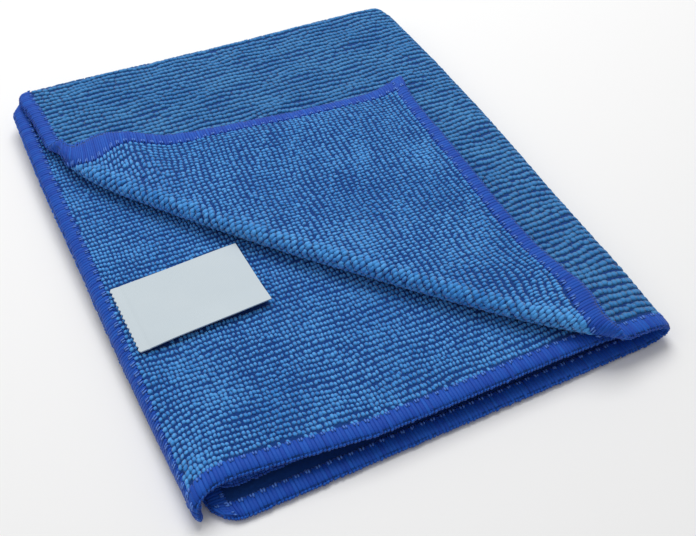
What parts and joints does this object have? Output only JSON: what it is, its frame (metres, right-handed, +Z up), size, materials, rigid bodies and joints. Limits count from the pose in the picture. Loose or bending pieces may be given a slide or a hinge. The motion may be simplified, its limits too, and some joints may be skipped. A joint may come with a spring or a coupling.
{
  "type": "folded microfibre cloth",
  "caption": "Rectangular looped-pile microfibre cleaning cloth with overlocked edges and a plain sewn-in label, folded in quarters with its top corner turned back.",
  "frame": {"origin": "middle of the folded cloth's bounding box, on the surface it lies on", "axes": "+X to the right folded edge, +Y to the back folded edge, +Z up out of the pile of layers"},
  "size_m": [0.1686, 0.2012, 0.0184],
  "materials": {
    "cloth": "looped microfibre pile, matt, with a darker overlocked edge",
    "label": "smooth woven tape, slightly satin"
  },
  "bodies": {
    "root": {"cloth": "cloth", "label": "label"}
  },
  "joints": []
}
